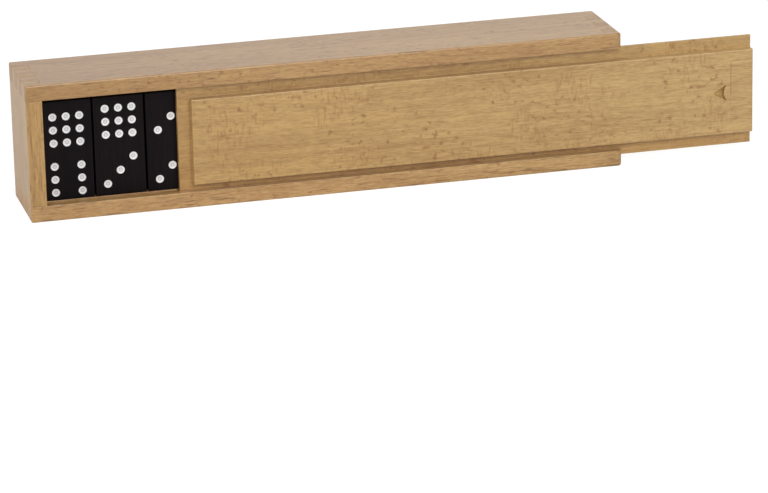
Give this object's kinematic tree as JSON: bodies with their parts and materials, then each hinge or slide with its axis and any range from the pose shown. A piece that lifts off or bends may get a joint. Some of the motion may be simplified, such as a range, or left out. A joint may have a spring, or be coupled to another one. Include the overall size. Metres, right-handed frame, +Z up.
{
  "type": "domino storage box",
  "caption": "Finger-jointed wooden box with a sliding lid that holds a full set of black dominoes in rows.",
  "frame": {"origin": "centre of the underside of the closed box, which stands on its long side", "axes": "+X along the box towards the mouth where the lid comes out, -Y out of the front that the lid closes, +Z up"},
  "size_m": [0.3706, 0.048, 0.069],
  "materials": {
    "beech_long_wall": "clear satin lacquer on beech, grain along the box",
    "beech_end_wall": "clear satin lacquer on beech, end grain at the fingers",
    "beech_lid": "clear satin lacquer on quarter-sawn beech with fine flecks",
    "back_panel_ply": "satin lacquered plywood",
    "black_domino": "black-stained wood, satin",
    "white_pip_paint": "matt white paint in the dimples"
  },
  "bodies": {
    "box": {"upper_wall": "beech_long_wall", "lower_wall": "beech_long_wall", "closed_end_wall": "beech_end_wall", "mouth_end_wall": "beech_end_wall", "back_panel": "back_panel_ply", "domino_3_3": "black_domino", "domino_9_9": "black_domino", "domino_9_8": "black_domino", "domino_9_7": "black_domino", "domino_9_5": "black_domino", "domino_9_4": "black_domino", "domino_9_2": "black_domino", "domino_9_1": "black_domino", "domino_9_0": "black_domino", "domino_8_8": "black_domino", "domino_8_7": "black_domino", "domino_8_6": "black_domino", "domino_8_5": "black_domino", "domino_8_4": "black_domino", "domino_8_3": "black_domino", "domino_8_2": "black_domino", "domino_8_1": "black_domino", "domino_8_0": "black_domino", "domino_7_7": "black_domino", "domino_7_6": "black_domino", "domino_7_5": "black_domino", "domino_7_4": "black_domino", "domino_7_3": "black_domino", "domino_7_2": "black_domino", "domino_7_1": "black_domino", "domino_7_0": "black_domino", "domino_6_6": "black_domino", "domino_6_5": "black_domino", "domino_6_4": "black_domino", "domino_6_3": "black_domino", "domino_6_2": "black_domino", "domino_6_1": "black_domino", "domino_6_0": "black_domino", "domino_5_5": "black_domino", "domino_5_4": "black_domino", "domino_5_3": "black_domino", "domino_5_2": "black_domino", "domino_5_1": "black_domino", "domino_5_0": "black_domino", "domino_4_4": "black_domino", "domino_4_3": "black_domino", "domino_4_2": "black_domino", "domino_4_1": "black_domino", "domino_4_0": "black_domino", "domino_3_2": "black_domino", "domino_3_1": "black_domino", "domino_3_0": "black_domino", "domino_2_2": "black_domino", "domino_2_1": "black_domino", "domino_2_0": "black_domino", "domino_1_1": "black_domino", "domino_1_0_and_0_0": "black_domino"},
    "lid": {"lid": "beech_lid"},
    "domino_9_6": {"domino_9_6": "black_domino"},
    "domino_9_3": {"domino_9_3": "black_domino"}
  },
  "joints": [
    {"name": "lid_slide", "type": "slide", "parent": "box", "child": "lid", "axis": [1, 0, 0], "range_m": [-0.0692, 0.23]},
    {"name": "domino_9_6_lift", "type": "slide", "parent": "box", "child": "domino_9_6", "axis": [0, -1, 0], "range_m": [0, 0.04]},
    {"name": "domino_9_3_lift", "type": "slide", "parent": "box", "child": "domino_9_3", "axis": [0, -1, 0], "range_m": [0, 0.04]}
  ]
}
